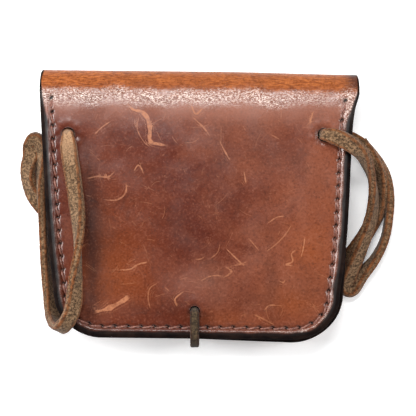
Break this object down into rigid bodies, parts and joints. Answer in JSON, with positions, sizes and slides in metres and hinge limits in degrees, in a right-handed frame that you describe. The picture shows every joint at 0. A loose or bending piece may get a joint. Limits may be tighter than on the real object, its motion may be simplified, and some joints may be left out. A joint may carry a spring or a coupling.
{
  "type": "belt pouch",
  "caption": "Flat belt pouch of thick stitched leather with a fold-over flap, a moulded front, loose lacing thongs through its back and a thong that closes over a stud.",
  "frame": {"origin": "on the surface that the pouch lies on, below the middle of the closed pouch", "axes": "+X along the fold, to the right as the back panel is looked at; +Y towards the fold; +Z out of the back panel"},
  "size_m": [0.1495, 0.1085, 0.0291],
  "materials": {
    "saddle_leather": "waxed, worn and scratched dark brown saddle leather with burnished edges",
    "front_leather": "waxed dark brown saddle leather, moulded",
    "lace_leather": "rough olive-brown hide with rust-brown edges",
    "thong_leather": "rough olive-brown hide with dark rust edges",
    "stud_brass": "plain dulled brass"
  },
  "bodies": {
    "root": {"back_and_flap": "saddle_leather", "front_pocket": "front_leather", "lace_left": "lace_leather", "lace_right": "lace_leather", "closing_thong": "thong_leather", "flap_stud": "stud_brass"}
  },
  "joints": []
}
